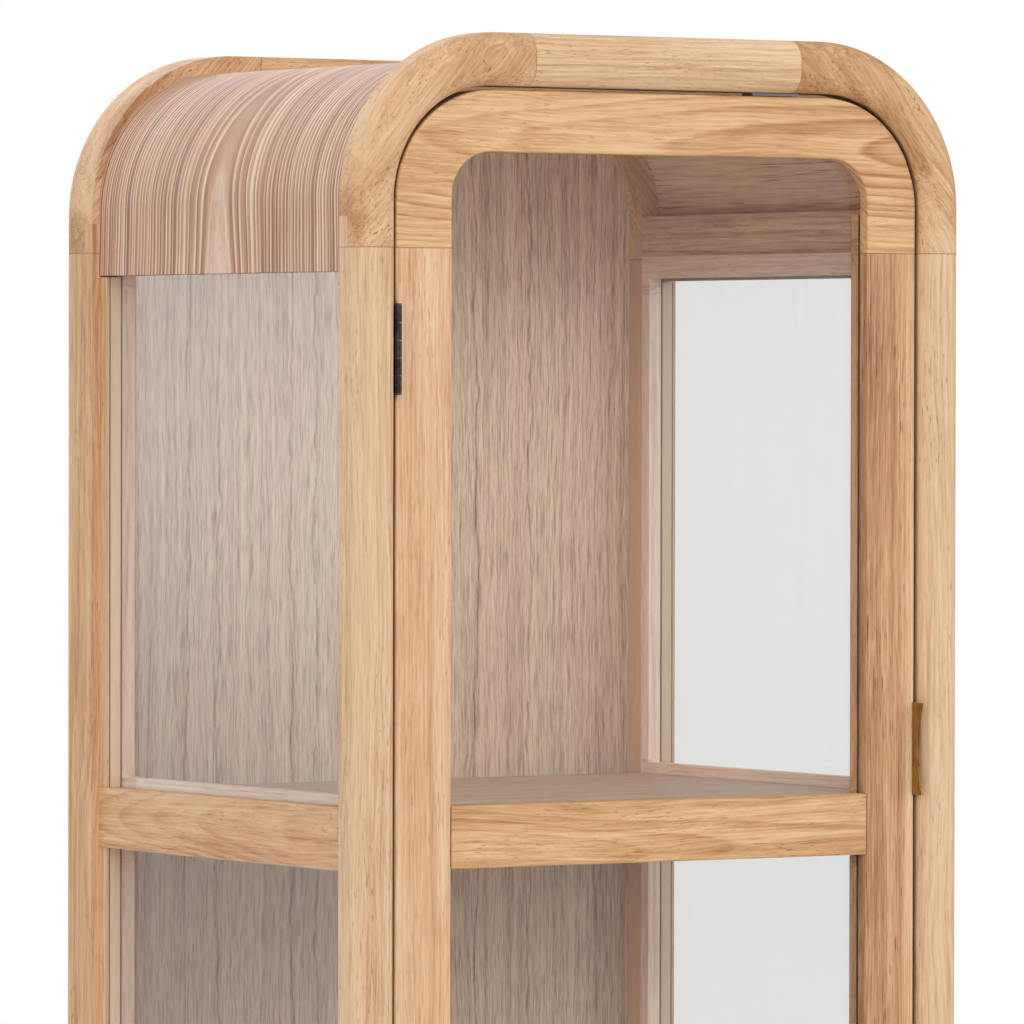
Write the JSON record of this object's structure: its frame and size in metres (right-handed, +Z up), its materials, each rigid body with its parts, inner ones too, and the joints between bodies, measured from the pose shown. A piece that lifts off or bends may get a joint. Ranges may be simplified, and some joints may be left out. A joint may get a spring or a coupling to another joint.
{
  "type": "display cabinet",
  "caption": "Tall free-standing display cabinet with a round-cornered wooden frame, curved veneered top, glazed sides and a hinged glazed door.",
  "frame": {"origin": "on the floor, under the middle of the cabinet", "axes": "+X to the right seen from the front, +Y from the door to the back panel, +Z up"},
  "size_m": [0.5, 0.413, 1.75],
  "materials": {
    "ring_wood": "satin clear lacquer",
    "veneer": "matt lacquer over straight striped veneer",
    "lining_wood": "matt",
    "side_wood": "satin clear lacquer",
    "bead_wood": "satin",
    "panel_veneer": "matt greyed veneer",
    "door_wood": "satin clear lacquer",
    "clear_glass": "polished",
    "dark_steel": "dark bronzed",
    "aged_brass": "aged satin",
    "bright_steel": "bright zinc",
    "catch_metal": "silver grey",
    "glide_plastic": "matt"
  },
  "bodies": {
    "carcass": {"front_top_rail": "ring_wood", "front_corner_left": "ring_wood", "front_corner_right": "ring_wood", "front_post_left": "ring_wood", "front_post_right": "ring_wood", "front_bottom_rail": "ring_wood", "rear_top_rail": "ring_wood", "rear_corner_left": "ring_wood", "rear_corner_right": "ring_wood", "rear_post_left": "ring_wood", "rear_post_right": "ring_wood", "rear_bottom_rail": "ring_wood", "veneer_skin": "veneer", "shell_staves": "lining_wood", "side_top_rail_left": "lining_wood", "side_top_rail_right": "lining_wood", "shelf_cleats": "lining_wood", "side_upper_rail_left": "side_wood", "side_upper_rail_right": "side_wood", "side_lower_rail_left": "side_wood", "side_lower_rail_right": "side_wood", "side_bottom_rail_left": "side_wood", "side_bottom_rail_right": "side_wood", "side_stiles_left": "side_wood", "side_stiles_right": "side_wood", "side_beads_left": "bead_wood", "side_beads_right": "bead_wood", "back_panel": "panel_veneer", "upper_shelf": "panel_veneer", "lower_shelf": "panel_veneer", "bottom_board": "panel_veneer", "side_glass_left": "clear_glass", "side_glass_right": "clear_glass", "hinge_frame_leaves": "dark_steel", "hinge_pins": "dark_steel", "hinge_frame_screws": "dark_steel", "catch_magnet": "bright_steel", "catch_screws": "bright_steel", "back_screws": "bright_steel", "catch_housing": "catch_metal", "foot_glides": "glide_plastic"},
    "door": {"door_top_rail": "door_wood", "door_hinge_stile": "door_wood", "door_pull_stile": "door_wood", "door_edge_lipping": "door_wood", "door_upper_rail": "door_wood", "door_lower_rail": "door_wood", "door_bottom_rail": "door_wood", "door_glass_upper": "clear_glass", "door_glass_middle": "clear_glass", "door_glass_lower": "clear_glass", "door_glass_beads": "bead_wood", "hinge_door_leaves": "dark_steel", "hinge_door_screws": "dark_steel", "edge_pull": "aged_brass", "edge_pull_screws": "aged_brass", "strike_plate": "bright_steel", "strike_screw": "bright_steel"}
  },
  "joints": [
    {"name": "door_swing", "type": "hinge", "parent": "carcass", "child": "door", "pos_m": [-0.21675, -0.1995, 0.955], "axis": [0, 0, -1], "range_deg": [0, 130]}
  ]
}
